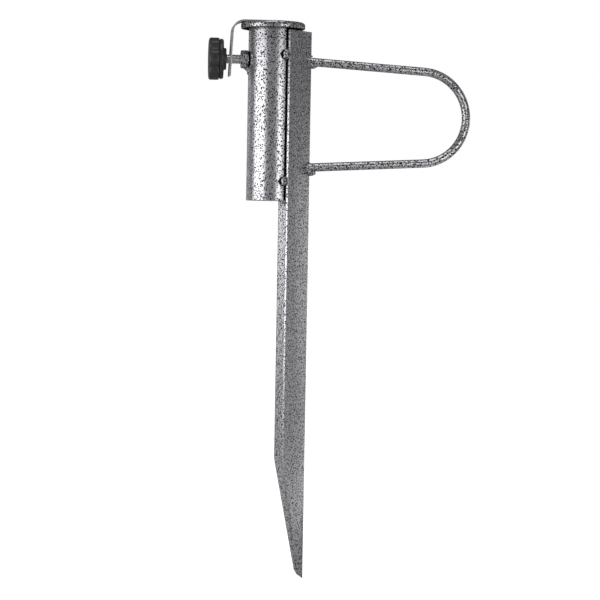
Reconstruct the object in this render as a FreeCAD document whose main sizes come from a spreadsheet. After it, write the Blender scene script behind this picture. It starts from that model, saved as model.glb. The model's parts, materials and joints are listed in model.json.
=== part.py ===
"""Ground spike socket for a pole: a round tube welded into the V of an angle-iron spike.

A bent bar on the spike's corner is the handle. A thumbscrew runs in a nut welded to the
tube and clamps the pole. A pressed cap on a bent strap covers the tube's mouth, and the
strap's fork hangs over the thumbscrew.

Frame: the origin is on the tube's axis at its lower end, which is the ground line.
+Z is up along the tube and +X points to the handle. The thumbscrew's nut is welded a few
degrees round from -X. The cap turns freely on the tube, and its strap hangs over the screw
between the two, so the thumbscrew and the cap each have a turned frame of their own.
"""
import FreeCAD, Part
import math
import os

import Sketcher
from FreeCAD import Placement, Rotation, Vector

PARTS = "parts"

# Driving dimensions, in millimetres and degrees.
DIMENSIONS = {
    # Socket tube
    "tube_radius": 20.0,
    "tube_wall": 1.5,
    "tube_length": 145.0,
    # Angle-iron spike, equal legs, whose inner faces touch the tube
    "leg_width": 30.0,
    "leg_thickness": 3.0,
    "leg_root_radius": 3.0,
    "leg_toe_radius": 1.6,
    "spike_top": 140.0,
    "spike_length": 454.5,
    "taper_length": 94.5,
    "taper_end_width": 7.0,
    "point_length": 7.0,
    # Handle bar
    "bar_radius": 3.5,
    "bend_radius": 38.3,
    "bend_centre": 126.6,
    "handle_height": 71.8,
    "handle_half_span": 44.3,
    # Thumbscrew and its nut, an M8 thread, turned about Z from the handle's plane
    "clamp_turn": -6.0,
    "screw_height": 116.1,
    "screw_radius": 4.0,
    "screw_tip": 18.6,
    "screw_tip_chamfer": 1.0,
    "screw_socket_depth": 10.0,
    "thread_clearance": 0.05,
    "wall_hole_radius": 4.5,
    "nut_across_flats": 13.0,
    "nut_height": 6.5,
    # Knob, measured back from its hub's face
    "hub_face": 38.2,
    "hub_radius": 9.0,
    "hub_length": 2.3,
    "collar_radius": 16.8,
    "collar_length": 3.4,
    "knob_radius": 18.0,
    "knob_length": 9.0,
    "knob_crown": 0.4,
    "knob_chamfer": 1.2,
    "scallop_radius": 5.0,
    "scallop_depth": 2.4,
    # Cap over the tube's mouth, turned about Z from the handle's plane
    "cover_turn": -3.5,
    "cap_radius": 26.5,
    "cap_sheet": 1.5,
    "cap_depth": 5.3,
    "cap_shoulder": 2.3,
    "cap_gap": 0.2,
    # Strap from the cap down to the thumbscrew
    "strap_width": 18.0,
    "strap_sheet": 1.5,
    "strap_reach": 9.0,
    "strap_bend_start": 24.2,
    "strap_bend_radius": 8.8,
    "strap_lean": 3.0,
    "strap_leg": 36.8,
    "strap_corner": 2.6,
    "fork_width": 12.0,
    "rivet_radius": 2.0,
    "rivet_head_radius": 3.5,
    "rivet_head_height": 0.8,
}
KNOB_LOBES = 6
RIVET_PLACES = {"strap_rivet_inner": 3.0, "strap_rivet_outer": -11.0}

# Weld beads; each seam tack has its height up the tube and its own half height.
TACK_ALONG = {"upper": (119.6, 4.3), "lower": (15.8, 3.7)}
TACK_RADIUS = 2.9
TACK_SHIFT = 3.3
HANDLE_WELD_RADIUS = 6.2
HANDLE_WELD_LENGTH = 3.1
HANDLE_WELD_TOE = 0.2
NUT_WELD_WIDTH = 8.0
NUT_WELD_DROP = 6.0
NUT_WELD_LAP = 1.9
NUT_WELD_LIP = 3.0
NUT_WELD_SETBACK = 0.8
WELD_BITE = 2.0

# Smaller shapes
SOCKET_GAP = 0.1
CROWN_SHARE = 0.5
RIVET_TOP_SHARE = 0.85
FORK_CROWN_RISE = 1.5
CUT_MARGIN = 5.0

ROOT_TWO = math.sqrt(2.0)


class Size:
    """A number together with the spreadsheet expression that gives it."""

    def __init__(self, value, text=None):
        self.value = float(value)
        self.text = text or f"({float(value)!r})"

    def _join(self, other, sign, value):
        return Size(value, f"({self.text} {sign} {other.text})")

    def __add__(self, other):
        other = size(other)
        return self._join(other, "+", self.value + other.value)

    def __sub__(self, other):
        other = size(other)
        return self._join(other, "-", self.value - other.value)

    def __mul__(self, other):
        other = size(other)
        return self._join(other, "*", self.value * other.value)

    def __truediv__(self, other):
        other = size(other)
        return self._join(other, "/", self.value / other.value)

    def __neg__(self):
        return Size(-self.value, f"(0 - {self.text})")


def size(number):
    return number if isinstance(number, Size) else Size(number)


class Sheet:
    """The driving dimensions as spreadsheet cells; an attribute is a cell as a Size."""

    def __init__(self, document, dimensions):
        cells = document.addObject("Spreadsheet::Sheet", "Sizes")
        for row, (alias, value) in enumerate(dimensions.items(), start=1):
            cells.set(f"A{row}", alias)
            cells.set(f"B{row}", str(value))
            cells.setAlias(f"B{row}", alias)
            setattr(self, alias, Size(value, f"Sizes.{alias}"))
        document.recompute()


def sine(angle):
    return Size(math.sin(math.radians(angle.value)), f"sin({angle.text} * 1 deg)")


def cosine(angle):
    return Size(math.cos(math.radians(angle.value)), f"cos({angle.text} * 1 deg)")


doc = FreeCAD.newDocument("ground_spike_socket")
s = Sheet(doc, DIMENSIONS)

corner_x = (s.tube_radius + s.leg_thickness) * ROOT_TWO
cap_under = s.tube_length + s.cap_gap
cap_top = cap_under + s.cap_sheet
nut_corner_radius = s.nut_across_flats / math.sqrt(3.0)


# ---------------------------------------------------------------- modelling helpers

def bind(thing, name, value):
    thing.setExpression(name, size(value).text)


def place(thing, x=0, y=0, z=0, rotation=None):
    """Put a sub-part at a point whose coordinates follow the sheet."""
    thing.Placement = Placement(Vector(size(x).value, size(y).value, size(z).value),
                                rotation or Rotation())
    for name, value in (("x", x), ("y", y), ("z", z)):
        if isinstance(value, Size):
            bind(thing, f"Placement.Base.{name}", value)


def place_turned(thing, turn, along=0, z=0):
    """Place a sub-part turned about Z, at a distance along its own turned X axis."""
    along = size(along)
    place(thing, along * cosine(turn), along * sine(turn), z,
          Rotation(Vector(0, 0, 1), turn.value))
    thing.setExpression("Placement.Rotation.Angle", f"{turn.text} * 1 deg")


def new_body(label):
    body = doc.addObject("PartDesign::Body", label)
    body.Label = label
    return body


def sketch_on(body, role, name):
    plane = next(f for f in body.Origin.OriginFeatures if f.Role == role)
    sketch = body.newObject("Sketcher::SketchObject", name)
    sketch.AttachmentSupport = (plane, [""])
    sketch.MapMode = "FlatFace"
    return sketch


def pin_point(sketch, edge, end, x, y):
    """Fix one point of a sketch edge at coordinates that follow the sheet."""
    for kind, value in (("DistanceX", size(x)), ("DistanceY", size(y))):
        index = sketch.addConstraint(Sketcher.Constraint(kind, edge, end, value.value))
        sketch.setExpression(f"Constraints[{index}]", value.text)


def draw_line(sketch, start, finish):
    points = [Vector(size(x).value, size(y).value, 0) for x, y in (start, finish)]
    return sketch.addGeometry(Part.LineSegment(*points), False)


def draw_polygon(sketch, corners):
    """A closed outline of straight edges through the given corners."""
    count = len(corners)
    edges = [draw_line(sketch, corners[i], corners[(i + 1) % count]) for i in range(count)]
    for i, edge in enumerate(edges):
        sketch.addConstraint(Sketcher.Constraint("Coincident", edge, 2, edges[(i + 1) % count], 1))
        pin_point(sketch, edge, 1, *corners[i])


def draw_circle(sketch, x, y, radius):
    x, y, radius = size(x), size(y), size(radius)
    circle = Part.Circle(Vector(x.value, y.value, 0), Vector(0, 0, 1), radius.value)
    edge = sketch.addGeometry(circle, False)
    pin_point(sketch, edge, 3, x, y)
    index = sketch.addConstraint(Sketcher.Constraint("Radius", edge, radius.value))
    sketch.setExpression(f"Constraints[{index}]", radius.text)


def pad(body, sketch, length, symmetric=False):
    feature = body.newObject("PartDesign::Pad", "Pad")
    feature.Profile = sketch
    bind(feature, "Length", length)
    feature.Midplane = symmetric
    doc.recompute()
    return feature


def pocket(body, sketch, length, reverse=False):
    """Cut a sketch into the body, and stop if the cut removes nothing."""
    before = body.Shape.Volume
    feature = body.newObject("PartDesign::Pocket", "Pocket")
    feature.Profile = sketch
    bind(feature, "Length", length)
    feature.Reversed = reverse
    doc.recompute()
    if body.Shape.Volume >= before - 1e-6:
        raise RuntimeError(f"{body.Label}: {sketch.Label} cuts nothing")
    return feature


def revolve(body, sketch, axis):
    feature = body.newObject("PartDesign::Revolution", "Revolution")
    feature.Profile = sketch
    feature.ReferenceAxis = (sketch, [axis])
    feature.Angle = 360
    doc.recompute()
    return feature


def fillet(body, base, radius, wanted):
    """Round the edges of the base feature whose middle passes the test."""
    names = []
    for number, edge in enumerate(base.Shape.Edges, start=1):
        middle = edge.valueAt((edge.FirstParameter + edge.LastParameter) / 2)
        if wanted(middle):
            names.append(f"Edge{number}")
    feature = body.newObject("PartDesign::Fillet", "Fillet")
    feature.Base = (base, names)
    bind(feature, "Radius", radius)
    doc.recompute()
    return feature


def boolean(kind, label, base, tool):
    thing = doc.addObject(kind, label)
    thing.Label = label
    thing.Base = base
    thing.Tool = tool
    doc.recompute()
    return thing


# ---------------------------------------------------------------- welded frame

def make_socket_tube():
    body = new_body("socket_tube")
    ring = sketch_on(body, "XY_Plane", "tube_ring")
    draw_circle(ring, 0, 0, s.tube_radius)
    draw_circle(ring, 0, 0, s.tube_radius - s.tube_wall)
    pad(body, ring, s.tube_length)
    hole = sketch_on(body, "YZ_Plane", "screw_hole")
    draw_circle(hole, 0, s.screw_height, s.wall_hole_radius)
    pocket(body, hole, s.tube_radius * 1.5)
    place_turned(body, s.clamp_turn)
    return body


def make_spike_angle():
    """Angle iron drawn with its corner at the body's origin and its point at z = 0."""
    body = new_body("spike_angle")
    section = sketch_on(body, "XY_Plane", "angle_section")
    draw_polygon(section, [
        (0, 0), (s.leg_width, 0), (s.leg_width, s.leg_thickness),
        (s.leg_thickness, s.leg_thickness), (s.leg_thickness, s.leg_width), (0, s.leg_width)])
    bar = pad(body, section, s.spike_length)
    thick, wide = DIMENSIONS["leg_thickness"], DIMENSIONS["leg_width"]
    bar = fillet(body, bar, s.leg_root_radius, lambda p: math.hypot(p.x - thick, p.y - thick) < 1e-4)
    fillet(body, bar, s.leg_toe_radius,
           lambda p: min(math.hypot(p.x - wide, p.y - thick),
                         math.hypot(p.x - thick, p.y - wide)) < 1e-4)
    beyond = s.leg_width + CUT_MARGIN
    taper_top = s.point_length + s.taper_length
    for role, reverse in (("XZ_Plane", False), ("YZ_Plane", True)):
        cut = sketch_on(body, role, "leg_taper_" + role[:2])
        draw_polygon(cut, [
            (0, 0), (s.taper_end_width, s.point_length), (s.leg_width, taper_top),
            (beyond, taper_top), (beyond, -CUT_MARGIN), (0, -CUT_MARGIN)])
        pocket(body, cut, s.leg_thickness + s.leg_root_radius, reverse)
    place(body, corner_x, 0, s.spike_top - s.spike_length, Rotation(Vector(0, 0, 1), 135))
    return body


def make_angle_envelope():
    """The wedge behind the angle's outer faces, a tool that copes what is welded there."""
    body = new_body("angle_envelope")
    wedge = sketch_on(body, "XY_Plane", "wedge")
    draw_polygon(wedge, [
        (corner_x, 0), (corner_x - s.leg_width, s.leg_width),
        (corner_x - s.leg_width, -s.leg_width)])
    pad(body, wedge, s.tube_length * 2.0, symmetric=True)
    return body


def make_handle_loop(envelope):
    """Round bar bent to a U, its two ends coped over the angle's corner."""
    body = new_body("handle_bar")
    path = sketch_on(body, "XZ_Plane", "handle_path")
    start_x = corner_x - s.bar_radius * 2.0
    spread = DIMENSIONS["handle_half_span"] - DIMENSIONS["bend_radius"]
    reach = DIMENSIONS["bend_centre"] - start_x.value
    toe_in = math.atan2(spread, reach)
    middle = DIMENSIONS["handle_height"]
    centre = Vector(DIMENSIONS["bend_centre"], middle, 0)
    radius = DIMENSIONS["bend_radius"]
    touch = math.pi / 2 - toe_in
    bend = path.addGeometry(
        Part.ArcOfCircle(Part.Circle(centre, Vector(0, 0, 1), radius), -touch, touch), False)
    legs = []
    for side in (1, -1):
        end = (centre.x + radius * math.cos(touch), middle + side * radius * math.sin(touch))
        leg = draw_line(path, (start_x, s.handle_height + s.handle_half_span * side), end)
        legs.append(leg)
        pin_point(path, leg, 1, start_x, s.handle_height + s.handle_half_span * side)
    path.addConstraint(Sketcher.Constraint("Tangent", legs[0], 2, bend, 2))
    path.addConstraint(Sketcher.Constraint("Tangent", legs[1], 2, bend, 1))
    pin_point(path, bend, 3, s.bend_centre, s.handle_height)
    section = sketch_on(body, "YZ_Plane", "bar_section")
    bind(section, "AttachmentOffset.Base.z", start_x)
    draw_circle(section, 0, s.handle_height + s.handle_half_span, s.bar_radius)
    doc.recompute()
    pipe = body.newObject("PartDesign::AdditivePipe", "Pipe")
    pipe.Profile = section
    pipe.Spine = (path, [])
    doc.recompute()
    return boolean("Part::Cut", "handle_loop", body, envelope)


def make_handle_weld(label, side, envelope, handle):
    """A fillet bead round one end of the handle bar, against the angle's two faces."""
    cone = doc.addObject("Part::Cone", label + "_blank")
    cone.Radius1 = HANDLE_WELD_RADIUS
    bind(cone, "Radius2", s.bar_radius + HANDLE_WELD_TOE)
    cone.Height = 2 * HANDLE_WELD_LENGTH
    place(cone, corner_x - HANDLE_WELD_LENGTH, 0, s.handle_height + s.handle_half_span * side,
          Rotation(Vector(0, 1, 0), 90))
    trimmed = boolean("Part::Cut", label + "_trimmed", cone, envelope)
    return boolean("Part::Cut", label, trimmed, handle)


def make_seam_tack(label, level, half_height, side, tube_blank, spike):
    """A tack bead over the seam between the tube and one free edge of the angle."""
    body = new_body(label + "_bead")
    half = sketch_on(body, "XZ_Plane", "bead_half")
    steps = ((-1.0, 0.0), (-0.8, 0.6), (-0.25, 1.0), (0.25, 1.0), (0.8, 0.6), (1.0, 0.0))
    draw_polygon(half, [(TACK_RADIUS * out, half_height * along) for along, out in steps])
    revolve(body, half, "V_Axis")
    seam_x = corner_x - s.leg_width / ROOT_TWO - TACK_SHIFT
    seam_y = (s.leg_width - s.leg_thickness / 2.0) / ROOT_TWO
    place(body, seam_x, seam_y * side, level)
    trimmed = boolean("Part::Cut", label + "_trimmed", body, tube_blank)
    return boolean("Part::Cut", label, trimmed, spike)


def make_clamp_nut():
    """Hexagon nut with a corner up, its face on the tube and its axis along the screw."""
    body = new_body("clamp_nut")
    hexagon = sketch_on(body, "YZ_Plane", "hexagon")
    corners = []
    for i in range(6):
        angle = math.radians(90 + 60 * i)
        corners.append((nut_corner_radius * math.cos(angle), nut_corner_radius * math.sin(angle)))
    draw_polygon(hexagon, corners)
    pad(body, hexagon, s.nut_height)
    hole = sketch_on(body, "YZ_Plane", "thread_bore")
    draw_circle(hole, 0, 0, s.screw_radius + s.thread_clearance)
    pocket(body, hole, s.nut_height, reverse=True)
    place_turned(body, s.clamp_turn, -s.tube_radius - s.nut_height, s.screw_height)
    return body


def make_nut_weld(tube_blank, nut):
    """The bead under the nut, running from its lower corner down onto the tube."""
    body = new_body("nut_weld_blank")
    profile = sketch_on(body, "XZ_Plane", "bead_profile")
    inner = -s.tube_radius + WELD_BITE
    outer = -s.tube_radius - s.nut_height + NUT_WELD_SETBACK
    top = s.screw_height - nut_corner_radius + NUT_WELD_LAP
    foot = s.screw_height - nut_corner_radius - NUT_WELD_DROP
    draw_polygon(profile, [(inner, top), (outer, top), (outer, top - NUT_WELD_LIP), (inner, foot)])
    pad(body, profile, NUT_WELD_WIDTH, symmetric=True)
    place_turned(body, s.clamp_turn)
    trimmed = boolean("Part::Cut", "nut_weld_trimmed", body, tube_blank)
    return boolean("Part::Cut", "nut_weld", trimmed, nut)


# ---------------------------------------------------------------- thumbscrew

def make_clamp_screw():
    """Threaded shank at its major diameter, from the pole's side back into the knob."""
    body = new_body("clamp_screw")
    half = sketch_on(body, "XZ_Plane", "shank_half")
    back = -s.hub_face - s.screw_socket_depth
    chamfer = s.screw_tip_chamfer
    draw_polygon(half, [
        (back, 0), (back, s.screw_radius), (-s.screw_tip - chamfer, s.screw_radius),
        (-s.screw_tip, s.screw_radius - chamfer), (-s.screw_tip, 0)])
    revolve(body, half, "H_Axis")
    place_turned(body, s.clamp_turn, 0, s.screw_height)
    return body


def make_knob():
    """Lobed hand knob about the body's X axis, with its hub's face at x = 0."""
    body = new_body("knob_body")
    half = sketch_on(body, "XZ_Plane", "knob_half")
    hub_back = -s.hub_length
    collar_back = hub_back - s.collar_length
    front = collar_back - s.knob_length
    bore = s.screw_radius + s.thread_clearance
    socket_end = -s.screw_socket_depth - SOCKET_GAP
    draw_polygon(half, [
        (0, bore), (0, s.hub_radius), (hub_back, s.hub_radius),
        (hub_back, s.collar_radius), (collar_back, s.knob_radius),
        (front + s.knob_chamfer, s.knob_radius), (front, s.knob_radius - s.knob_chamfer),
        (front - s.knob_crown, s.knob_radius * CROWN_SHARE), (front - s.knob_crown, 0),
        (socket_end, 0), (socket_end, bore)])
    revolve(body, half, "H_Axis")
    scallop = sketch_on(body, "YZ_Plane", "scallop")
    half_pitch = math.radians(180 / KNOB_LOBES)
    centre = s.knob_radius + s.scallop_radius - s.scallop_depth
    draw_circle(scallop, centre * math.cos(half_pitch), centre * math.sin(half_pitch),
                s.scallop_radius)
    bind(scallop, "AttachmentOffset.Base.z", collar_back)
    cut = pocket(body, scallop, s.knob_length * 2.0)
    pattern = body.newObject("PartDesign::PolarPattern", "Scallops")
    pattern.Originals = [cut]
    pattern.Axis = (next(f for f in body.Origin.OriginFeatures if f.Role == "X_Axis"), [""])
    pattern.Angle = 360
    pattern.Occurrences = KNOB_LOBES
    body.Tip = pattern
    doc.recompute()
    place_turned(body, s.clamp_turn, -s.hub_face, s.screw_height)
    return body


# ---------------------------------------------------------------- cap and strap

def drill_rivet_holes(body, level):
    """Rivet holes down through a sheet whose top is at the given height."""
    for name, x in RIVET_PLACES.items():
        hole = sketch_on(body, "XY_Plane", name + "_hole")
        bind(hole, "AttachmentOffset.Base.z", level)
        draw_circle(hole, x, 0, s.rivet_radius)
        pocket(body, hole, s.cap_sheet)


def make_cover_plate():
    """Pressed cap: a flat top with a rounded shoulder and a short skirt."""
    body = new_body("cover_plate")
    half = sketch_on(body, "XZ_Plane", "cap_half")
    skirt_foot = cap_top - s.cap_depth
    draw_polygon(half, [
        (0, cap_under), (s.cap_radius - s.cap_sheet, cap_under),
        (s.cap_radius - s.cap_sheet, skirt_foot), (s.cap_radius, skirt_foot),
        (s.cap_radius, cap_top), (0, cap_top)])
    cap = revolve(body, half, "V_Axis")
    rim, top = DIMENSIONS["cap_radius"], cap_top.value
    fillet(body, cap, s.cap_shoulder,
           lambda p: abs(math.hypot(p.x, p.y) - rim) < 1e-4 and abs(p.z - top) < 1e-4)
    drill_rivet_holes(body, cap_top)
    place_turned(body, s.cover_turn)
    return body


def make_cover_strap():
    """Flat strip lying on the cap, bent down past its edge, forked at the lower end."""
    body = new_body("cover_strap")
    side = sketch_on(body, "XZ_Plane", "strap_side")
    inner_radius = s.strap_bend_radius
    outer_radius = inner_radius + s.strap_sheet
    bend_x = -s.strap_bend_start
    bend_z = cap_top - s.strap_bend_radius
    lean_cos, lean_sin = cosine(s.strap_lean), sine(s.strap_lean)

    def leg_point(radius, down):
        return (bend_x - radius * lean_cos - down * lean_sin,
                bend_z + radius * lean_sin - down * lean_cos)

    flat_top = cap_top + s.strap_sheet
    runs = [
        ((bend_x, cap_top), (s.strap_reach, cap_top)),
        ((s.strap_reach, cap_top), (s.strap_reach, flat_top)),
        ((s.strap_reach, flat_top), (bend_x, flat_top)),
        (leg_point(outer_radius, size(0)), leg_point(outer_radius, s.strap_leg)),
        (leg_point(outer_radius, s.strap_leg), leg_point(inner_radius, s.strap_leg)),
        (leg_point(inner_radius, s.strap_leg), leg_point(inner_radius, size(0))),
    ]
    for start, finish in runs:
        edge = draw_line(side, start, finish)
        pin_point(side, edge, 1, *start)
        pin_point(side, edge, 2, *finish)
    centre = Vector(bend_x.value, bend_z.value, 0)
    turn_end = math.pi - math.radians(DIMENSIONS["strap_lean"])
    for radius in (inner_radius, outer_radius):
        circle = Part.Circle(centre, Vector(0, 0, 1), radius.value)
        arc = side.addGeometry(Part.ArcOfCircle(circle, math.pi / 2, turn_end), False)
        index = side.addConstraint(Sketcher.Constraint("Radius", arc, radius.value))
        side.setExpression(f"Constraints[{index}]", radius.text)
        start, finish = (0, 5) if radius is inner_radius else (2, 3)
        ends = (1, 2) if radius is inner_radius else (2, 1)
        side.addConstraint(Sketcher.Constraint("Coincident", arc, 1, start, ends[0]))
        side.addConstraint(Sketcher.Constraint("Coincident", arc, 2, finish, ends[1]))
    pad(body, side, s.strap_width, symmetric=True)

    foot = leg_point(outer_radius, s.strap_leg)[1]
    fork = sketch_on(body, "YZ_Plane", "fork_slot")
    half_fork = s.fork_width / 2.0
    crown = s.screw_height + FORK_CROWN_RISE
    across = half_fork * math.cos(math.radians(60))
    rise = half_fork * math.sin(math.radians(60))
    draw_polygon(fork, [
        (-half_fork, foot - CUT_MARGIN), (half_fork, foot - CUT_MARGIN), (half_fork, crown),
        (across, crown + rise), (-across, crown + rise), (-half_fork, crown)])
    pocket(body, fork, s.cap_radius * 2.0)
    half_width = s.strap_width / 2.0
    shoulder = foot + s.strap_corner * 2.0
    for hand in (1.0, -1.0):
        corner = sketch_on(body, "YZ_Plane", "tine_corner")
        draw_polygon(corner, [
            ((half_width + CUT_MARGIN) * hand, foot - CUT_MARGIN),
            ((half_width - s.strap_corner) * hand, foot - CUT_MARGIN),
            ((half_width - s.strap_corner) * hand, foot),
            (half_width * hand, shoulder),
            ((half_width + CUT_MARGIN) * hand, shoulder)])
        pocket(body, corner, s.cap_radius * 2.0)
    drill_rivet_holes(body, flat_top)
    place_turned(body, s.cover_turn)
    return body


def make_strap_rivet(label, x):
    """Low-headed rivet through strap and cap, its tail flush with the cap's underside."""
    body = new_body(label)
    half = sketch_on(body, "XZ_Plane", "rivet_half")
    grip = s.strap_sheet + s.cap_sheet
    head, shank = s.rivet_head_radius, s.rivet_radius
    draw_polygon(half, [
        (0, s.rivet_head_height), (head * RIVET_TOP_SHARE, s.rivet_head_height), (head, 0),
        (shank, 0), (shank, -grip), (0, -grip)])
    revolve(body, half, "V_Axis")
    place_turned(body, s.cover_turn, x, cap_top + s.strap_sheet)
    return body


# ---------------------------------------------------------------- assembly

def build():
    tube = make_socket_tube()
    spike = make_spike_angle()
    envelope = make_angle_envelope()
    tube_blank = doc.addObject("Part::Cylinder", "tube_blank")
    bind(tube_blank, "Radius", s.tube_radius)
    bind(tube_blank, "Height", s.tube_length)
    handle = make_handle_loop(envelope)
    nut = make_clamp_nut()
    parts = [tube, spike, handle, nut, make_nut_weld(tube_blank, nut)]
    for name, side in (("upper", 1), ("lower", -1)):
        parts.append(make_handle_weld("handle_weld_" + name, side, envelope, handle))
        level, half_height = TACK_ALONG[name]
        for face, hand in (("front", -1), ("back", 1)):
            label = f"seam_tack_{name}_{face}"
            parts.append(make_seam_tack(label, level, half_height, hand, tube_blank, spike))
    parts += [make_clamp_screw(), make_knob(), make_cover_plate(), make_cover_strap()]
    parts += [make_strap_rivet(label, x) for label, x in RIVET_PLACES.items()]
    doc.recompute()
    return parts


def check_and_export(parts):
    for thing in doc.Objects:
        if {"Invalid", "Error"} & set(thing.State):
            raise RuntimeError(f"{thing.Label} failed: {thing.State}")
    for part in parts:
        shape = part.Shape
        if shape.isNull() or not shape.isValid() or not shape.Solids:
            raise RuntimeError(f"{part.Label} has no valid solid")
        print(f"{part.Label:26s} solids {len(shape.Solids)} volume {shape.Volume:10.1f} mm3")
    os.makedirs(PARTS, exist_ok=True)
    for part in parts:
        part.Shape.exportStep(os.path.join(PARTS, part.Label + ".step"))


check_and_export(build())
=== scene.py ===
"""Looks of the ground spike socket: hammer-finish paint, zinc-plated strap and screw, black knob.

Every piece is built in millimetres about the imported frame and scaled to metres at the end.
"""

import json
import math

import bmesh
import bpy
from mathutils import Matrix, Vector, noise


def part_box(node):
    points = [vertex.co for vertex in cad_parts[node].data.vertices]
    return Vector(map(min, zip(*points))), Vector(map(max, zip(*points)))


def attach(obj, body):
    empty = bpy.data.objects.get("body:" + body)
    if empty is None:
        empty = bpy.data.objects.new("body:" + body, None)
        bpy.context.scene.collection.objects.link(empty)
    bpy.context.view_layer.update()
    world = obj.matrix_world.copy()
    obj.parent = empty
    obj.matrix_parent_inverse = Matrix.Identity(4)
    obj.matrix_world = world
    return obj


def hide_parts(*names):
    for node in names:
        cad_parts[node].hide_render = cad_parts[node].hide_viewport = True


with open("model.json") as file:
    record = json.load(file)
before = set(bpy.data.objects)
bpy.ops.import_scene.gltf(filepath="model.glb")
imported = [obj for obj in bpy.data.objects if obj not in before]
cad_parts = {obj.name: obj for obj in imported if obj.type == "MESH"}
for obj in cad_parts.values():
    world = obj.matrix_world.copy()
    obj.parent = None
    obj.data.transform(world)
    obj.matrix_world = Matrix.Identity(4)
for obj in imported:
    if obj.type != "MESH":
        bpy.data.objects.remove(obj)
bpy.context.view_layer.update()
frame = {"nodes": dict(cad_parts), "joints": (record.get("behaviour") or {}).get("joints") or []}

MM = 0.001
TURN = 2 * math.pi

# What the frame's boxes don't give: lengths in millimetres, angles in radians, and a count
TUBE_WALL = 1.5
LIP_ROUND = 0.4
WALL_HOLE_RADIUS = 4.5
EDGE_ROUND = 0.45
BEND_RADIUS = 38.3
BAR_RADIUS = 3.5
NUT_CHAMFER = 0.55
BORE_CHAMFER = 0.5
THREAD_PITCH = 1.25
THREAD_DEPTH = 0.62
THREAD_RADIUS = 4.0
THREAD_GAP = 0.05
HUB_LENGTH = 2.3
COLLAR_LENGTH = 3.4
COLLAR_STEP = 1.4
LOBE_DIP = 2.6
CAP_SHEET = 1.5
CAP_SHOULDER = 2.3
STRAP_SHEET = 1.5
STRAP_BEND_RADIUS = 9.55
STRAP_BEND_START = -24.2
STRAP_LEAN = math.radians(3.0)
STRAP_EDGE_ROUND = 0.28
FORK_WIDTH = 12.0
FORK_CROWN_RISE = 1.5
RIVET_SHANK = 2.0
RIVET_CROWN = 0.8
TACK_SPOT = (8.0, 20.15)
KNOB_LOBES = 6

# Where painted shade darkens the tube's crevices, and how far the specks wander from an even pattern
SEAM_BEARING = math.radians(67.5)
SEAM_FADE = math.radians(3.0)
NUT_SHADE = 9.6
TACK_SHADE = 4.2
SPECK_WARP = 0.9


def box_mm(node):
    """Lowest and highest corner of a CAD node, in millimetres."""
    low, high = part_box(node)
    return low / MM, high / MM


def joint_turn(name):
    """How far a joint's axis is turned about Z from the handle's plane."""
    axis = next(joint["axis"] for joint in frame["joints"] if joint["name"] == name)
    return math.atan2(axis[1], axis[0])


def turned_box_mm(node, turn):
    """A node's lowest and highest corner along axes that are turned about Z, in millimetres."""
    spin = Matrix.Rotation(-turn, 3, "Z")
    spots = [spin @ vert.co / MM for vert in frame["nodes"][node].data.vertices]
    return tuple(Vector(pick(spot[i] for spot in spots) for i in range(3)) for pick in (min, max))


CLAMP_TURN = joint_turn("screw_advance")
COVER_TURN = joint_turn("cover_lift_off")

SPIKE_LOW, SPIKE_HIGH = box_mm("spike_angle")
HANDLE_LOW, HANDLE_HIGH = box_mm("handle_loop")
TUBE_LOW, TUBE_HIGH = turned_box_mm("socket_tube", CLAMP_TURN)
NUT_LOW, NUT_HIGH = turned_box_mm("clamp_nut", CLAMP_TURN)
SCREW_LOW, SCREW_HIGH = turned_box_mm("clamp_screw", CLAMP_TURN)
KNOB_LOW, KNOB_HIGH = turned_box_mm("knob_body", CLAMP_TURN)
CAP_LOW, CAP_HIGH = turned_box_mm("cover_plate", COVER_TURN)
STRAP_LOW, STRAP_HIGH = turned_box_mm("cover_strap", COVER_TURN)

TUBE_RADIUS = TUBE_HIGH.x
NUT_ASIDE = -TUBE_RADIUS * math.sin(CLAMP_TURN)
CORNER_X = SPIKE_HIGH.x
SCREW_Z = (SCREW_LOW.z + SCREW_HIGH.z) / 2
TACK_LEVELS = [sum(corner.z for corner in box_mm(f"seam_tack_{name}_front")) / 2
               for name in ("upper", "lower")]


# ------------------------------------------------------------------ node helpers

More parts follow.
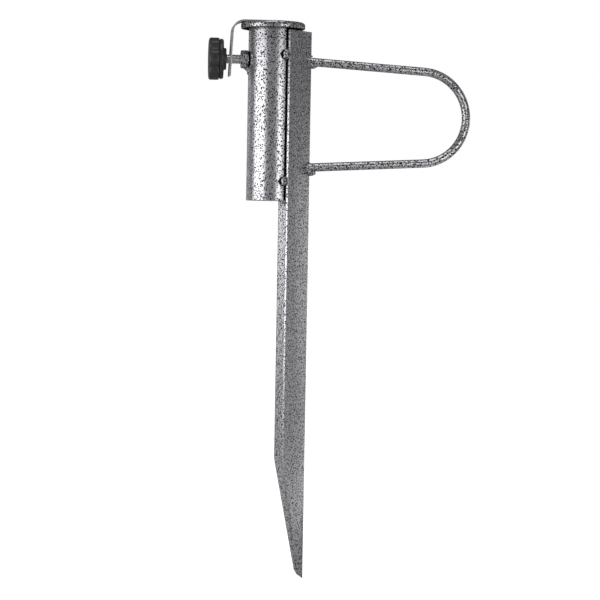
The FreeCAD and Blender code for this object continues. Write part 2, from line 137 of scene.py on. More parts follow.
class Graph:
    """Short hand for building a material's node tree."""

    def __init__(self, material):
        material.use_nodes = True
        self.tree = material.node_tree
        self.shader = self.tree.nodes["Principled BSDF"]

    def node(self, kind, **settings):
        made = self.tree.nodes.new(kind)
        for name, value in settings.items():
            setattr(made, name, value)
        return made

    def link(self, source, target):
        self.tree.links.new(source, target)

    def feed(self, socket, value):
        """Link a socket to another one, or set it to a plain value."""
        if isinstance(value, bpy.types.NodeSocket):
            self.link(value, socket)
        else:
            socket.default_value = value

    def maths(self, operation, first, second=0.0):
        made = self.node("ShaderNodeMath", operation=operation)
        self.feed(made.inputs[0], first)
        self.feed(made.inputs[1], second)
        return made.outputs[0]

    def length(self, first, second):
        """Length of a vector that has these two parts."""
        squares = [self.maths("MULTIPLY", part, part) for part in (first, second)]
        return self.maths("SQRT", self.maths("ADD", *squares))

    def split(self, vector):
        """The X, Y and Z of a vector."""
        parts = self.node("ShaderNodeSeparateXYZ")
        self.link(vector, parts.inputs[0])
        return parts.outputs

    def scale(self, vector, factor):
        made = self.node("ShaderNodeVectorMath", operation="SCALE")
        self.feed(made.inputs[0], vector)
        self.feed(made.inputs["Scale"], factor)
        return made.outputs[0]

    def remap(self, value, low, high, to_low=0.0, to_high=1.0):
        """Smooth step from to_low to to_high as value goes from low to high."""
        made = self.node("ShaderNodeMapRange", interpolation_type="SMOOTHSTEP")
        for index, item in enumerate((value, low, high, to_low, to_high)):
            self.feed(made.inputs[index], item)
        return made.outputs[0]

    def blend(self, factor, first, second):
        """Colour that goes from first to second as factor goes from 0 to 1."""
        made = self.node("ShaderNodeMix", data_type="RGBA")
        self.feed(made.inputs["Factor"], factor)
        self.feed(made.inputs[6], first)
        self.feed(made.inputs[7], second)
        return made.outputs[2]

    def millimetres(self, stretch=(1.0, 1.0, 1.0)):
        """Object coordinates counted in millimetres, so a texture scale is per millimetre."""
        place = self.node("ShaderNodeTexCoord").outputs["Object"]
        mapping = self.node("ShaderNodeMapping")
        mapping.inputs["Scale"].default_value = [factor / MM for factor in stretch]
        self.link(place, mapping.inputs["Vector"])
        return mapping.outputs["Vector"]

    def noise(self, vector, size, detail=2.0, rough=0.5):
        """Noise whose blobs are about the given size in millimetres."""
        made = self.node("ShaderNodeTexNoise")
        self.feed(made.inputs["Vector"], vector)
        made.inputs["Scale"].default_value = 1.0 / size
        made.inputs["Detail"].default_value = detail
        made.inputs["Roughness"].default_value = rough
        return made

    def cells(self, vector, size, feature="F1"):
        """Distance to the nearest of many points about size millimetres apart, as a share of size."""
        made = self.node("ShaderNodeTexVoronoi", feature=feature)
        self.feed(made.inputs["Vector"], vector)
        made.inputs["Scale"].default_value = 1.0 / size
        return made.outputs["Distance"]

    def bump(self, height, depth_mm):
        made = self.node("ShaderNodeBump")
        made.inputs["Distance"].default_value = depth_mm * MM
        self.link(height, made.inputs["Height"])
        self.link(made.outputs["Normal"], self.shader.inputs["Normal"])


def grey(level):
    return (level, level, level * 1.02, 1.0)


# ------------------------------------------------------------------ materials

def shaded_seams(g, place):
    """1 on the tube's open surface, 0 where painted shade darkens it inside the angle's V and at the
    nut's and tacks' feet.
    """
    x, y, z = g.split(place)
    bearing = g.maths("ARCTAN2", g.maths("ABSOLUTE", y), x)
    # painted shade: the tube goes dark inside the angle's V, up to the seams
    seam = g.remap(bearing, SEAM_BEARING - SEAM_FADE, SEAM_BEARING)
    # painted shade round the nut's foot, on the nut's side of the tube only
    nut_reach = g.length(g.maths("SUBTRACT", y, NUT_ASIDE), g.maths("SUBTRACT", z, SCREW_Z))
    away_from_nut = g.remap(x, -5.0, 0.0)
    nut_foot = g.maths("MAXIMUM", g.remap(nut_reach, NUT_SHADE * 0.82, NUT_SHADE), away_from_nut)
    unshaded = g.maths("MULTIPLY", seam, nut_foot)
    # painted shade round the foot of each tack
    tack_bearing = math.atan2(TACK_SPOT[1], TACK_SPOT[0])
    round_off = g.maths("MULTIPLY", g.maths("SUBTRACT", bearing, tack_bearing), TUBE_RADIUS)
    for level in TACK_LEVELS:
        tack_reach = g.length(round_off, g.maths("SUBTRACT", z, level))
        tack_foot = g.remap(tack_reach, TACK_SHADE * 0.8, TACK_SHADE * 1.15)
        unshaded = g.maths("MULTIPLY", unshaded, tack_foot)
    # the tube's bore gets no painted shade
    inside = g.remap(g.length(x, y), TUBE_RADIUS - TUBE_WALL, TUBE_RADIUS - 0.6, 1.0, 0.0)
    return g.maths("MAXIMUM", unshaded, inside)


def cap_inside_painted_shade(g, place):
    """1 on the cap's outside, 0 on its inside, where painted shade darkens it."""
    x, y, z = g.split(place)
    # painted shade: everything inside the cap's sheet goes dark
    outer = g.remap(g.length(x, y), CAP_HIGH.x - CAP_SHEET * 0.8, CAP_HIGH.x - CAP_SHEET * 0.4)
    upper = g.remap(z, CAP_HIGH.z - CAP_SHEET * 0.8, CAP_HIGH.z - CAP_SHEET * 0.3)
    return g.maths("MAXIMUM", outer, upper)


def hammer_paint(name, speck_size, speck_reach, speck_tone, grain_share, painted_shade=None, silver=0.62):
    """Silver hammer-finish enamel: aluminium flake with dark specks and a slightly lumpy skin.

    speck_size is the specks' spacing in millimetres, speck_reach a speck's radius as a share of it,
    speck_tone the share of the silver left in a speck, and grain_share how much the flake varies.
    The optional mask function makes a mask that is 0 where painted shade darkens the paint almost to
    black.
    """
    material = bpy.data.materials.new(name)
    g = Graph(material)
    place = g.millimetres()
    warped = g.node("ShaderNodeVectorMath", operation="ADD")
    g.link(g.scale(g.noise(place, 1.1).outputs["Color"], SPECK_WARP), warped.inputs[0])
    g.link(place, warped.inputs[1])
    spots = g.cells(warped.outputs[0], speck_size)
    speck = g.remap(spots, speck_reach * 0.72, speck_reach, 1.0, 0.0)
    grain = g.noise(place, 1.0, 1.0, 0.6).outputs["Fac"]
    lumps = g.cells(place, 3.4, "SMOOTH_F1")
    flake = g.remap(grain, 0.40, 0.60, 1.0 - grain_share, 1.0 + grain_share * 0.6)
    level = g.maths("MULTIPLY", flake, g.remap(speck, 0.0, 1.0, 1.0, speck_tone))
    if painted_shade:
        # painted shade: where the mask is 0 the paint drops to 2 % of its tone
        level = g.maths("MULTIPLY", level, g.remap(painted_shade(g, place), 0.0, 1.0, 0.02, 1.0))
    g.link(g.scale((silver, silver, silver * 1.04), level), g.shader.inputs["Base Color"])
    gloss = g.remap(grain, 0.3, 0.7, 0.24, 0.34)
    g.link(g.maths("ADD", gloss, g.maths("MULTIPLY", speck, 0.25)), g.shader.inputs["Roughness"])
    g.shader.inputs["Metallic"].default_value = 0.85
    g.shader.inputs["Specular IOR Level"].default_value = 0.2
    g.shader.inputs["Coat Weight"].default_value = 0.08
    g.shader.inputs["Coat Roughness"].default_value = 0.12
    dimples = g.maths("MULTIPLY", speck, -0.6)
    skin = g.maths("ADD", dimples, g.maths("MULTIPLY", lumps, 0.8))
    g.bump(g.maths("ADD", skin, g.maths("MULTIPLY", grain, 0.7)), 0.065)
    return material


def zinc_plate(name, tone, rough):
    """Bright zinc plating: faint cloudy spangle and fine lines that run along Z."""
    material = bpy.data.materials.new(name)
    g = Graph(material)
    cloud = g.noise(g.millimetres(), 4.0, 3.0).outputs["Fac"]
    lines = g.noise(g.millimetres((3.0, 3.0, 0.25)), 0.5).outputs["Fac"]
    silver = g.scale((tone, tone * 0.995, tone * 0.975), g.remap(cloud, 0.3, 0.7, 0.86, 1.06))
    g.link(silver, g.shader.inputs["Base Color"])
    g.link(g.remap(lines, 0.3, 0.7, rough * 0.8, rough * 1.35), g.shader.inputs["Roughness"])
    g.shader.inputs["Metallic"].default_value = 1.0
    g.bump(lines, 0.02)
    return material


def knob_plastic(name):
    """Black moulded plastic: a fine spark-eroded grain, with paler and duller clouds."""
    material = bpy.data.materials.new(name)
    g = Graph(material)
    place = g.millimetres()
    grain = g.noise(place, 0.35, 2.0, 0.6).outputs["Fac"]
    clouds = g.noise(place, 7.0).outputs["Fac"]
    g.link(g.blend(g.remap(clouds, 0.35, 0.7), grey(0.032), grey(0.048)),
           g.shader.inputs["Base Color"])
    g.link(g.remap(clouds, 0.3, 0.7, 0.30, 0.44), g.shader.inputs["Roughness"])
    g.shader.inputs["Specular IOR Level"].default_value = 0.5
    g.bump(grain, 0.035)
    return material


# the tube's and the cap's paints carry painted shade in their crevices and hollows
PAINT_TUBE = hammer_paint("hammer_paint_tube", speck_size=1.6, speck_reach=0.44, speck_tone=0.05,
                          grain_share=0.10, painted_shade=shaded_seams, silver=0.63)
PAINT_CAP = hammer_paint("hammer_paint_cap", speck_size=1.7, speck_reach=0.47, speck_tone=0.05,
                         grain_share=0.22, painted_shade=cap_inside_painted_shade, silver=0.52)
PAINT_SPIKE = hammer_paint("hammer_paint_spike", speck_size=1.55, speck_reach=0.43,
                           speck_tone=0.06, grain_share=0.22)
PAINT_BAR = hammer_paint("hammer_paint_bar", speck_size=1.8, speck_reach=0.46, speck_tone=0.04,
                         grain_share=0.45)
PAINT_WELD = hammer_paint("hammer_paint_weld", speck_size=1.5, speck_reach=0.44,
                          speck_tone=0.06, grain_share=0.45, silver=0.46)
PAINT_NUT = hammer_paint("hammer_paint_nut", speck_size=1.6, speck_reach=0.46, speck_tone=0.04,
                         grain_share=0.45, silver=0.76)
ZINC = zinc_plate("zinc_plate", tone=0.86, rough=0.20)
STRAP_ZINC = zinc_plate("zinc_plate_strap", tone=0.58, rough=0.40)
BLACK = knob_plastic("knob_plastic")


# ------------------------------------------------------------------ mesh helpers

def add_object(name, shape, unit=MM, turn=0.0):
    """Put a bmesh into the scene, turned about Z; unit is the length in metres of its 1."""
    mesh = bpy.data.meshes.new(name)
    shape.to_mesh(mesh)
    shape.free()
    mesh.transform(Matrix.Rotation(turn, 4, "Z") @ Matrix.Scale(unit, 4))
    made = bpy.data.objects.new(name, mesh)
    bpy.context.scene.collection.objects.link(made)
    return made


def finish_piece(name, shape, body, node, material, smooth_angle=40.0, turn=0.0):
    """Make a millimetre bmesh, turned about Z, into a piece that stands for a CAD node."""
    bmesh.ops.recalc_face_normals(shape, faces=shape.faces)
    piece = add_object(name, shape, turn=turn)
    piece.data.materials.append(material)
    piece.data.shade_smooth()
    piece.data.set_sharp_from_angle(angle=math.radians(smooth_angle))
    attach(piece, body)
    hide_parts(node)
    return piece


def join_rings(shape, lower, upper):
    """A band of faces between two equal rings."""
    count = len(lower)
    for i in range(count):
        j = (i + 1) % count
        shape.faces.new((lower[i], lower[j], upper[j], upper[i]))


def add_rings(shape, rings, closed=False):
    """Skin a list of equal rings; a closed skin joins its last ring to its first, others get caps."""
    rows = [[shape.verts.new(point) for point in ring] for ring in rings]
    for lower, upper in zip(rows, rows[1:]):
        join_rings(shape, lower, upper)
    if closed:
        join_rings(shape, rows[-1], rows[0])
        return
    for row in (rows[0], rows[-1]):
        centre = shape.verts.new(sum((vert.co for vert in row), Vector()) / len(row))
        for i, vert in enumerate(row):
            shape.faces.new((vert, row[(i + 1) % len(row)], centre))


def lathe(shape, outline, along, segments, closed=False):
    """Turn (radius, distance) points about an axis; a closed outline is a ring section."""
    rings = []
    for radius, distance in outline:
        ring = []
        for i in range(segments):
            angle = TURN * i / segments
            first, second = radius * math.cos(angle), radius * math.sin(angle)
            ring.append((distance, first, second) if along == "x" else (first, second, distance))
        rings.append(ring)
    add_rings(shape, rings, closed)


def screw_ring(x, radius_at, segments):
    """Ring of points about the thumbscrew's axis; radius_at gives the radius at an angle."""
    ring = []
    for i in range(segments):
        angle = TURN * i / segments
        radius = radius_at(angle)
        ring.append((x, radius * math.cos(angle), SCREW_Z + radius * math.sin(angle)))
    return ring


def round_corner(centre, radius, start, end, steps=5):
    """Points of an arc, for outlines; angles in degrees."""
    points = []
    for i in range(steps + 1):
        angle = math.radians(start + (end - start) * i / steps)
        points.append((centre[0] + radius * math.cos(angle), centre[1] + radius * math.sin(angle)))
    return points


def bevel_sharp(shape, width, segments=3, limit=50.0):
    """Round the edges whose faces meet at more than the limit, in degrees."""
    sharp = [edge for edge in shape.edges
             if len(edge.link_faces) == 2 and edge.calc_face_angle(0.0) > math.radians(limit)]
    bmesh.ops.bevel(shape, geom=sharp, offset=width, segments=segments, profile=0.5,
                    affect="EDGES", clamp_overlap=True)


def cad_copy(node):
    """A node's CAD mesh in millimetres, welded and with its flat faces whole again."""
    shape = bmesh.new()
    shape.from_mesh(frame["nodes"][node].data)
    bmesh.ops.scale(shape, vec=(1 / MM,) * 3, verts=shape.verts)
    bmesh.ops.remove_doubles(shape, verts=shape.verts, dist=1e-3)
    bmesh.ops.dissolve_limit(shape, angle_limit=math.radians(1.0), verts=shape.verts,
                             edges=shape.edges)
    return shape


def apply_modifiers(piece):
    """Make a piece's modifiers part of its mesh."""
    bpy.context.view_layer.update()
    graph = bpy.context.evaluated_depsgraph_get()
    made = bpy.data.meshes.new_from_object(piece.evaluated_get(graph))
    piece.modifiers.clear()
    piece.data = made


# ------------------------------------------------------------------ welded frame

def build_tube():
    """Cut steel tube with lightly rounded lips and the thumbscrew's hole."""
    inner = TUBE_RADIUS - TUBE_WALL
    low, high = TUBE_LOW.z, TUBE_HIGH.z
    outline = round_corner((TUBE_RADIUS - LIP_ROUND, low + LIP_ROUND), LIP_ROUND, -90, 0)
    outline += round_corner((TUBE_RADIUS - LIP_ROUND, high - LIP_ROUND), LIP_ROUND, 0, 90)
    outline += round_corner((inner + LIP_ROUND, high - LIP_ROUND), LIP_ROUND, 90, 180)
    outline += round_corner((inner + LIP_ROUND, low + LIP_ROUND), LIP_ROUND, 180, 270)
    shape = bmesh.new()
    lathe(shape, outline, "z", 144, closed=True)
    piece = finish_piece("tube_look", shape, "frame", "socket_tube", PAINT_TUBE,
                         turn=CLAMP_TURN)
    # the cutter runs from outside the wall to well inside the bore
    overrun = 5.0
    cutter = bmesh.new()
    lathe(cutter, [(WALL_HOLE_RADIUS, -TUBE_RADIUS - overrun), (WALL_HOLE_RADIUS, -overrun)],
          "x", 48)
    bmesh.ops.translate(cutter, vec=(0, 0, SCREW_Z), verts=cutter.verts)
    tool = add_object("hole_cutter", cutter, turn=CLAMP_TURN)
    cut = piece.modifiers.new("hole", "BOOLEAN")
    cut.object = tool
    cut.operation = "DIFFERENCE"
    apply_modifiers(piece)
    bpy.data.objects.remove(tool)
    piece.data.set_sharp_from_angle(angle=math.radians(40.0))


def build_spike():
    """Angle iron cut to a point, with every sharp edge slightly rounded."""
    shape = cad_copy("spike_angle")
    bevel_sharp(shape, EDGE_ROUND)
    finish_piece("spike_look", shape, "frame", "spike_angle", PAINT_SPIKE)


def handle_path():
    """Centre line of the bar: two straight legs and the bend they touch."""
    leg_steps, half_bend_steps = 40, 36
    middle = (HANDLE_LOW.z + HANDLE_HIGH.z) / 2
    centre_x = HANDLE_HIGH.x - BAR_RADIUS - BEND_RADIUS
    start_x = HANDLE_LOW.x
    half_span = (HANDLE_HIGH.z - HANDLE_LOW.z) / 2 - BAR_RADIUS
    toe_in = math.atan2(half_span - BEND_RADIUS, centre_x - start_x)
    touch_x = centre_x + BEND_RADIUS * math.sin(toe_in)
    touch_height = BEND_RADIUS * math.cos(toe_in)
    points = []
    for i in range(leg_steps):
        share = i / leg_steps
        points.append((start_x + (touch_x - start_x) * share,
                       half_span + (touch_height - half_span) * share))
    for i in range(half_bend_steps + 1):
        angle = (math.pi / 2 - toe_in) * (1 - i / half_bend_steps)
        points.append((centre_x + BEND_RADIUS * math.cos(angle), BEND_RADIUS * math.sin(angle)))
    mirrored = [(x, -height) for x, height in reversed(points[:-1])]
    return [Vector((x, 0, middle + height)) for x, height in points + mirrored]


def build_handle():
    """Round bar swept along its bent line."""
    segments = 28
    path = handle_path()
    across = Vector((0, 1, 0))
    rings = []
    for i, point in enumerate(path):
        ahead = path[min(i + 1, len(path) - 1)]
        behind = path[max(i - 1, 0)]
        normal = (ahead - behind).normalized().cross(across)
        ring = []
        for k in range(segments):
            angle = TURN * k / segments
            ring.append(point + (across * math.cos(angle) + normal * math.sin(angle)) * BAR_RADIUS)
        rings.append(ring)
    shape = bmesh.new()
    add_rings(shape, rings)
    finish_piece("handle_look", shape, "frame", "handle_loop", PAINT_BAR)


def build_nut():
    """Hexagon weld nut with both faces chamfered."""
    segments = 72
    corner = (NUT_HIGH.z - NUT_LOW.z) / 2
    flat = corner * math.cos(math.radians(30))
    bore = THREAD_RADIUS + THREAD_GAP
    low, high = NUT_LOW.x, NUT_HIGH.x

    def hexagon(angle):
        offset = (angle - math.pi / 2) % (math.pi / 3)
        return min(flat / math.cos(offset - math.pi / 6), corner)

    def circle(radius):
        return lambda angle: radius

    stations = [(low + BORE_CHAMFER, circle(bore)), (low, circle(bore + BORE_CHAMFER)),
                (low, circle(flat)), (low + NUT_CHAMFER, hexagon),
                (high - NUT_CHAMFER, hexagon), (high, circle(flat)),
                (high, circle(bore + BORE_CHAMFER)), (high - BORE_CHAMFER, circle(bore))]
    shape = bmesh.new()
    add_rings(shape, [screw_ring(x, radius_at, segments) for x, radius_at in stations], True)
    finish_piece("nut_look", shape, "frame", "clamp_nut", PAINT_NUT, 25.0,
                 CLAMP_TURN)


def weld_mass(name, node, drops, voxel, turn=0.0):
    """Fuse overlapping drops of weld metal, each (centre, radii, turn about Z), into one bead."""
    shape = bmesh.new()
    for index, (centre, radii, drop_turn) in enumerate(drops):
        made = bmesh.ops.create_icosphere(shape, subdivisions=3, radius=1.0)["verts"]
        spin = Matrix.Rotation(math.radians(drop_turn), 3, "Z")
        for vert in made:
            ripple = 1.0 + 0.22 * noise.noise(vert.co * 1.7 + Vector((index * 3.1, 0, 0)))
            local = Vector((vert.co.x * radii[0], vert.co.y * radii[1], vert.co.z * radii[2]))
            vert.co = Vector(centre) + spin @ (local * ripple)
    piece = finish_piece(name, shape, "frame", node, PAINT_WELD, 60.0, turn)
    remesh = piece.modifiers.new("fuse", "REMESH")
    remesh.mode = "VOXEL"
    remesh.voxel_size = voxel * MM
    soften = piece.modifiers.new("soften", "SMOOTH")
    soften.iterations = 4
    soften.factor = 0.5
    apply_modifiers(piece)
    piece.data.shade_smooth()


def build_seam_tacks():
    """Four short tacks over the two seams between the tube and the angle's free edges."""
    # shares of a tack's half height at which a drop of metal lies
    drop_steps = (-0.5, -0.1, 0.3, 0.6)
    long_radius, short_radius = 3.0, 2.3
    for name in ("upper_front", "upper_back", "lower_front", "lower_back"):
        node = "seam_tack_" + name
        low, high = box_mm(node)
        middle = (low.z + high.z) / 2
        half = (high.z - low.z) / 2
        side = 1 if low.y > 0 else -1
        drops = []
        for step in drop_steps:
            swell = 1.0 - 0.45 * step * step
            centre = (TACK_SPOT[0] + 0.3, side * TACK_SPOT[1], middle + half * step)
            radii = (long_radius * swell, short_radius * swell, half * 0.46)
            drops.append((centre, radii, side * -15))
        weld_mass(f"tack_{name}_look", node, drops, 0.3)


def build_handle_welds():
    """A collar of weld at each end of the bar, heaviest on its underside."""
    count = 11
    out = BAR_RADIUS + 0.5
    for name in ("upper", "lower"):
        node = "handle_weld_" + name
        low, high = box_mm(node)
        height = (low.z + high.z) / 2
        drops = []
        for i in range(count):
            angle = TURN * i / count
            below = 0.5 - 0.5 * math.sin(angle)
            size = 0.9 + 1.6 * below ** 2
            # the angle's faces fall back on both sides of its corner, at 45 degrees
            setback = abs(math.cos(angle)) * out
            centre = (CORNER_X - setback + 0.4 + 1.3 * below, out * math.cos(angle),
                      height + out * math.sin(angle))
            drops.append((centre, (size * 1.55, size, size), 0))
        weld_mass(f"{node}_look", node, drops, 0.35)


def build_nut_weld():
    """Fillet from the tube's wall up to the underside of the nut."""
    columns, rows = 9, 6
    half_width, reach, climb = 3.6, 5.0, 5.6
    foot = box_mm("nut_weld")[0].z
    drops = []
    for column in range(columns):
        across = (2 * column / (columns - 1) - 1.0) * half_width
        lift = across * across * 0.16
        setback = TUBE_RADIUS - math.sqrt(TUBE_RADIUS ** 2 - across ** 2)
        for row in range(rows):
            share = row / (rows - 1)
            out = reach * share ** 1.8
            rise = 0.9 + climb * share ** 0.75
            centre = (-TUBE_RADIUS + setback * (1 - share) - out, across, foot + rise + lift)
            drops.append((centre, (1.0, 1.1, 1.2), 0))
    weld_mass("nut_weld_look", "nut_weld", drops, 0.3, CLAMP_TURN)


# ------------------------------------------------------------------ thumbscrew

def build_screw():
    """M8 shank with its helical thread, chamfered at the tip."""
    segments, rows_per_pitch = 48, 8
    tip_chamfer, crest_gap = 1.2, 0.03
    start, end = SCREW_LOW.x, SCREW_HIGH.x
    rows = int((end - start) / THREAD_PITCH * rows_per_pitch)
    rings = []
    for row in range(rows + 1):
        x = start + (end - start) * row / rows
        cut_back = 1.0 - min(1.0, (end - x) / tip_chamfer)

        def thread(angle):
            # share of a pitch; the crest is at 0.5 and the root's flat is round 0
            share = (x / THREAD_PITCH - angle / TURN) % 1.0
            groove = min(1.0, max(0.0, abs(share - 0.5) * 2.6 - 0.15))
            return THREAD_RADIUS - crest_gap - THREAD_DEPTH * max(groove, cut_back)

        rings.append(screw_ring(x, thread, segments))
    shape = bmesh.new()
    add_rings(shape, rings)
    finish_piece("screw_look", shape, "screw", "clamp_screw", ZINC, 60.0, CLAMP_TURN)


def build_knob():
    """Moulded hand knob: six soft lobes, a smooth collar behind them and a hub."""
    segments = 180
    front, hub_face = KNOB_LOW.x, KNOB_HIGH.x
    radius = (KNOB_HIGH.z - KNOB_LOW.z) / 2
    hub_radius, hub_back = 9.0, hub_face - HUB_LENGTH
    collar_radius, collar_back = radius - COLLAR_STEP, hub_back - COLLAR_LENGTH
    mouth = THREAD_RADIUS + 0.1
    # each station: distance along X, radius, share of the lobes' dip
    stations = [(front, 0.6, 0), (front + 0.02, 6.0, 0), (front + 0.1, 10.0, 0),
                (front + 0.25, 13.0, 0.3), (front + 0.4, 15.4, 0.8), (front + 0.55, 16.4, 1),
                (front + 0.85, 17.1, 1), (front + 1.3, 17.65, 1), (front + 1.9, radius, 1),
                (collar_back - 1.4, radius, 1), (collar_back - 0.6, radius - 0.25, 1),
                (collar_back - 0.15, radius - 0.8, 0.9), (collar_back, radius - 1.6, 0.8),
                (collar_back + 0.1, collar_radius - 1.0, 0.2),
                (collar_back + 0.35, collar_radius - 0.15, 0.05),
                (collar_back + 0.9, collar_radius, 0), (hub_back - 0.9, collar_radius - 0.2, 0),
                (hub_back - 0.3, collar_radius - 0.7, 0), (hub_back, collar_radius - 1.6, 0),
                (hub_back, hub_radius + 1.2, 0), (hub_back + 0.25, hub_radius + 0.3, 0),
                (hub_back + 0.7, hub_radius, 0), (hub_face - 0.5, hub_radius - 0.05, 0),
                (hub_face - 0.1, hub_radius - 0.35, 0), (hub_face, hub_radius - 0.9, 0),
                (hub_face, mouth + 0.5, 0), (hub_face - 0.5, mouth, 0),
                (hub_face - 3.0, mouth, 0)]
    rings = []
    for x, reach, share in stations:

        def lobed(angle):
            wave = 0.5 - 0.5 * math.cos(KNOB_LOBES * angle)
            return reach - LOBE_DIP * share * wave ** 2.6

        rings.append(screw_ring(x, lobed, segments))
    shape = bmesh.new()
    add_rings(shape, rings)
    finish_piece("knob_look", shape, "knob", "knob_body", BLACK, 50.0, CLAMP_TURN)


# ------------------------------------------------------------------ cap and strap

def build_cap():
    """Pressed cap: flat top, drawn shoulder, short skirt with a rolled-smooth edge."""
    rim, top, foot = CAP_HIGH.x, CAP_HIGH.z, CAP_LOW.z
    inner_shoulder = CAP_SHOULDER - 1.0
    inside = rim - CAP_SHEET - inner_shoulder
    half_sheet = CAP_SHEET / 2
    flat_radii = (0.3, 8.0, 16.0)
    outline = [(radius, top) for radius in flat_radii]
    outline += round_corner((rim - CAP_SHOULDER, top - CAP_SHOULDER), CAP_SHOULDER, 90, 0, 8)
    outline += round_corner((rim - half_sheet, foot + half_sheet), half_sheet, 0, -180, 8)
    outline += round_corner((inside, top - CAP_SHEET - inner_shoulder), inner_shoulder, 0, 90)
    outline += [(radius, top - CAP_SHEET) for radius in reversed(flat_radii)]
    shape = bmesh.new()
    lathe(shape, outline, "z", 128)
    finish_piece("cap_look", shape, "cover", "cover_plate", PAINT_CAP,
                 turn=COVER_TURN)


def strap_place(run, across, lift):
    """Where a point of the flat strap blank lies after bending; run starts at the bend."""
    top = STRAP_HIGH.z - STRAP_SHEET / 2
    if run <= 0:
        return Vector((STRAP_BEND_START - run, across, top + lift))
    bend = math.pi / 2 - STRAP_LEAN
    centre = Vector((STRAP_BEND_START, top - STRAP_BEND_RADIUS))
    angle = min(run / STRAP_BEND_RADIUS, bend)
    out = Vector((-math.sin(angle), math.cos(angle)))
    past_bend = max(0.0, run - STRAP_BEND_RADIUS * bend)
    down = Vector((-math.cos(angle), -math.sin(angle))) * past_bend
    spot = centre + out * (STRAP_BEND_RADIUS + lift) + down
    return Vector((spot.x, across, spot.y))


def strap_outline(arc):
    """Edge of the flat forked blank as (run, across) points; arc is the bend's length."""
    half = (STRAP_HIGH.y - STRAP_LOW.y) / 2
    bend_end_z = STRAP_HIGH.z - STRAP_SHEET / 2 - STRAP_BEND_RADIUS * (1 - math.sin(STRAP_LEAN))
    start = STRAP_BEND_START - STRAP_HIGH.x
    end = arc + (bend_end_z - STRAP_LOW.z) / math.cos(STRAP_LEAN)
    crown = arc + (bend_end_z - SCREW_Z) / math.cos(STRAP_LEAN) - FORK_CROWN_RISE
    fork = FORK_WIDTH / 2
    cap_corner, tip_corner = 2.5, 2.6
    side = round_corner((start + cap_corner, half - cap_corner), cap_corner, 180, 90)
    side += round_corner((end - tip_corner * 1.5, half - tip_corner), tip_corner, 90, 20)
    side += [(end, fork + 0.6), (end - 0.4, fork)]
    side += round_corner((crown, 0), fork, 90, 180, 6)
    return side + [(run, -across) for run, across in reversed(side[:-1])]


def build_strap():
    """Cut the forked blank flat, round its edges, then bend it as a press would."""
    bend_steps = 14
    arc = STRAP_BEND_RADIUS * (math.pi / 2 - STRAP_LEAN)
    shape = bmesh.new()
    edge = [shape.verts.new((run, across, -STRAP_SHEET / 2)) for run, across in strap_outline(arc)]
    base = shape.faces.new(edge)
    lifted = bmesh.ops.extrude_face_region(shape, geom=[base])["geom"]
    bmesh.ops.translate(shape, vec=(0, 0, STRAP_SHEET),
                        verts=[item for item in lifted if isinstance(item, bmesh.types.BMVert)])
    bevel_sharp(shape, STRAP_EDGE_ROUND, 2, 60.0)
    for i in range(bend_steps + 1):
        bmesh.ops.bisect_plane(shape, geom=shape.verts[:] + shape.edges[:] + shape.faces[:],
                               plane_co=(arc * i / bend_steps, 0, 0), plane_no=(1, 0, 0))
    for vert in shape.verts:
        vert.co = strap_place(*vert.co)
    finish_piece("strap_look", shape, "cover", "cover_strap", STRAP_ZINC, 30.0,
                 COVER_TURN)


def build_rivets():
    """Low domed rivet heads over the strap, closed under the cap."""
    for name in ("strap_rivet_inner", "strap_rivet_outer"):
        low, high = turned_box_mm(name, COVER_TURN)
        head = (high.x - low.x) / 2
        outline = [(0.2, high.z), (head * 0.45, high.z - 0.08), (head * 0.8, high.z - 0.3),
                   (head, high.z - RIVET_CROWN), (RIVET_SHANK, high.z - RIVET_CROWN),
                   (RIVET_SHANK, low.z + RIVET_CROWN), (head * 0.85, low.z + RIVET_CROWN),
                   (head * 0.7, low.z + 0.2), (0.2, low.z)]
        shape = bmesh.new()
        lathe(shape, outline, "z", 48)
        bmesh.ops.translate(shape, vec=((low.x + high.x) / 2, 0, 0), verts=shape.verts)
        finish_piece(name + "_look", shape, "cover", name, ZINC, 35.0, COVER_TURN)


# ------------------------------------------------------------------ stage, in metres

CAMERA_AZIMUTH = math.radians(-9.5)
CAMERA_DISTANCE = 1.8
CAMERA_HEIGHT = -0.02
CAMERA_LENS = 130.3
CAMERA_ROLL = math.radians(1.0)
AIM_HEIGHT = -0.08175
AIM_ASIDE = 0.0261
FLOOR_GAP = 0.001
FLOOR_HALF_WIDTH = 6.0


def build_floor():
    """A plain pale floor just under the spike's point; it glows far more for the camera."""
    shape = bmesh.new()
    bmesh.ops.create_grid(shape, x_segments=1, y_segments=1, size=FLOOR_HALF_WIDTH)
    floor = add_object("floor", shape, unit=1.0)
    floor.location.z = SPIKE_LOW.z * MM - FLOOR_GAP
    material = bpy.data.materials.new("pale_floor")
    g = Graph(material)
    shade = g.noise(g.millimetres(), 300.0).outputs["Fac"]
    g.link(g.blend(shade, (0.50, 0.50, 0.50, 1), (0.54, 0.54, 0.54, 1)),
           g.shader.inputs["Base Color"])
    g.shader.inputs["Roughness"].default_value = 0.9
    g.shader.inputs["Emission Color"].default_value = (1, 1, 1, 1)
    seen = g.node("ShaderNodeLightPath").outputs["Is Camera Ray"]
    glow = g.maths("ADD", g.maths("MULTIPLY", seen, 0.95), 0.05)
    g.link(glow, g.shader.inputs["Emission Strength"])
    floor.data.materials.append(material)


def add_light(name, bearing, distance, height, width, tall, power, tilt=0.0):
    """A softbox that faces the Z axis, at a bearing from +X, in degrees.

    It faces level, or downward by a tilt above 0 and upward by one below 0.
    """
    light = bpy.data.lights.new(name, "AREA")
    light.shape = "RECTANGLE"
    light.size, light.size_y = width, tall
    light.energy = power
    holder = bpy.data.objects.new(name, light)
    bpy.context.scene.collection.objects.link(holder)
    angle = math.radians(bearing)
    holder.location = (distance * math.cos(angle), distance * math.sin(angle), height)
    drop = math.radians(tilt)
    backward = Vector((math.cos(angle) * math.cos(drop), math.sin(angle) * math.cos(drop),
                       math.sin(drop)))
    holder.rotation_euler = backward.to_track_quat("Z", "Y").to_euler()


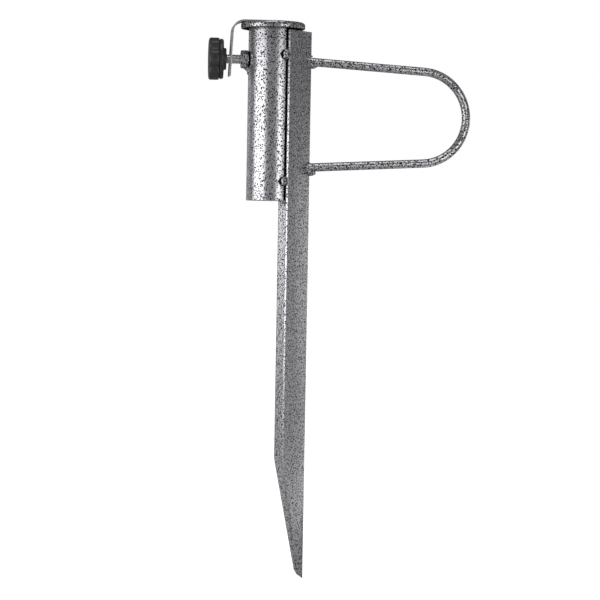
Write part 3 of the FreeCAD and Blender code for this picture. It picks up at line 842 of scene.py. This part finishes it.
def build_lights():
    """Two softboxes on the camera's side, weak cards beside and behind, one overhead, one below."""
    add_light("softbox_left", -157.0, 0.95, 0.02, 1.02, 0.64, 4.6)
    add_light("softbox_right", -57.5, 1.1, -0.01, 0.47, 0.68, 2.3)
    add_light("card_right", 15.0, 1.2, -0.50, 0.90, 1.34, 1.9)
    add_light("overhead", -90.0, 0.35, 1.1, 0.9, 0.6, 3.0, 72.0)
    add_light("floor_glow", 9.0, 0.40, -0.312, 0.30, 0.50, 0.22, -89.0)
    add_light("card_behind", 125.0, 1.3, 0.0, 0.70, 1.2, 1.0)


def build_room():
    """A grey room round the object, which the camera sees as white."""
    world = bpy.data.worlds.new("room")
    bpy.context.scene.world = world
    world.use_nodes = True
    tree = world.node_tree
    room = tree.nodes["Background"]
    room.inputs["Color"].default_value = (0.17, 0.17, 0.176, 1)
    white = tree.nodes.new("ShaderNodeBackground")
    white.inputs["Color"].default_value = (1, 1, 1, 1)
    mix = tree.nodes.new("ShaderNodeMixShader")
    seen = tree.nodes.new("ShaderNodeLightPath")
    tree.links.new(seen.outputs["Is Camera Ray"], mix.inputs[0])
    tree.links.new(room.outputs[0], mix.inputs[1])
    tree.links.new(white.outputs[0], mix.inputs[2])
    tree.links.new(mix.outputs[0], tree.nodes["World Output"].inputs["Surface"])


def build_camera():
    """Long-lens camera, turned a little to the thumbscrew's side and tipped by a degree."""
    level = Vector((math.sin(CAMERA_AZIMUTH), -math.cos(CAMERA_AZIMUTH), 0)) * CAMERA_DISTANCE
    back = (level + Vector((0, 0, CAMERA_HEIGHT - AIM_HEIGHT))).normalized()
    right = Vector((math.cos(CAMERA_AZIMUTH), math.sin(CAMERA_AZIMUTH), 0))
    upward = back.cross(right)
    tipped_right = right * math.cos(CAMERA_ROLL) + upward * math.sin(CAMERA_ROLL)
    tipped_up = upward * math.cos(CAMERA_ROLL) - right * math.sin(CAMERA_ROLL)
    aim = right * AIM_ASIDE + Vector((0, 0, AIM_HEIGHT))
    data = bpy.data.cameras.new("camera")
    data.lens = CAMERA_LENS
    data.clip_start, data.clip_end = 0.1, 50.0
    camera = bpy.data.objects.new("camera", data)
    bpy.context.scene.collection.objects.link(camera)
    turn = Matrix((tipped_right, tipped_up, back)).transposed()
    camera.matrix_world = Matrix.Translation(aim + back * CAMERA_DISTANCE) @ turn.to_4x4()
    bpy.context.scene.camera = camera


build_tube()
build_spike()
build_handle()
build_nut()
build_seam_tacks()
build_handle_welds()
build_nut_weld()
build_screw()
build_knob()
build_cap()
build_strap()
build_rivets()
build_floor()
build_lights()
build_room()
build_camera()
bpy.context.scene.view_settings.view_transform = "Standard"
